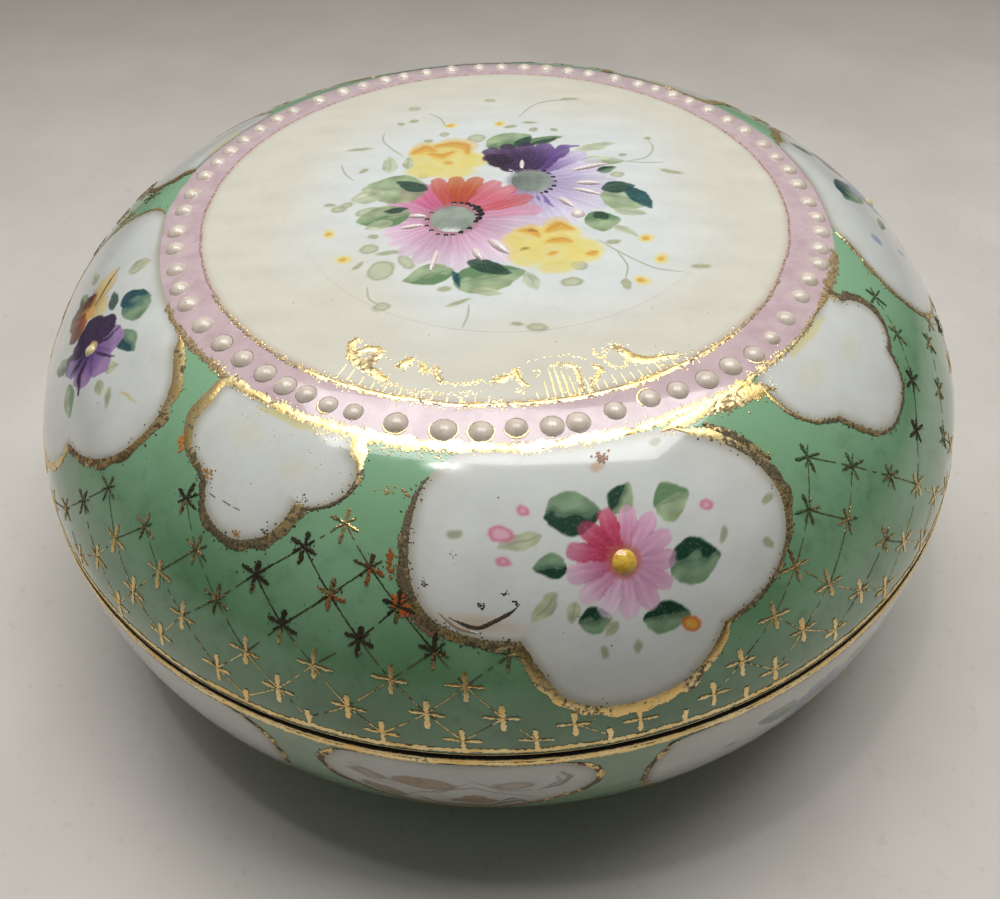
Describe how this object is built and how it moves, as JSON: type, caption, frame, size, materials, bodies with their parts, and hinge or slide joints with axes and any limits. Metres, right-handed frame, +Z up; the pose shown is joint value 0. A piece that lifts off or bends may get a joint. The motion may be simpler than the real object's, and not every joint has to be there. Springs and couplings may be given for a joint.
{
  "type": "porcelain trinket box",
  "caption": "Squat round covered porcelain box with a domed lift-off lid, raised enamel bead border, painted flowers, green ground and gold lattice.",
  "frame": {"origin": "centre of the foot ring's underside", "axes": "+Z up along the axis of revolution, -Y towards the front, where the largest flower reserve is"},
  "size_m": [0.127, 0.127, 0.0579],
  "materials": {
    "porcelain_bowl": "green overglaze ground with white reserves, glossy; white inside",
    "porcelain_lid": "green, pink and cream overglaze grounds with white reserves, glossy; white inside",
    "bead_enamel": "raised pearly enamel, glossy",
    "white_enamel": "raised white enamel, glossy",
    "grey_eye_enamel": "raised grey-green enamel, glossy",
    "yellow_eye_enamel": "raised yellow enamel, glossy",
    "overglaze_paint": "white and cream reserves painted with flowers in overglaze colours, glossy",
    "gilding": "fired gold, worn and speckled"
  },
  "bodies": {
    "base": {"base_bowl": "porcelain_bowl"},
    "lid": {"lid_shell": "porcelain_lid", "lid_bead_border": "bead_enamel", "medallion_petal_enamel": "white_enamel", "medallion_flower_eyes": "grey_eye_enamel", "front_flower_eye": "yellow_eye_enamel", "left_flower_eye": "yellow_eye_enamel", "right_flower_eye": "yellow_eye_enamel", "back_flower_eye": "yellow_eye_enamel"}
  },
  "joints": [
    {"name": "lid_lift", "type": "slide", "parent": "base", "child": "lid", "axis": [0, 0, 1], "range_m": [0, 0.12]}
  ]
}
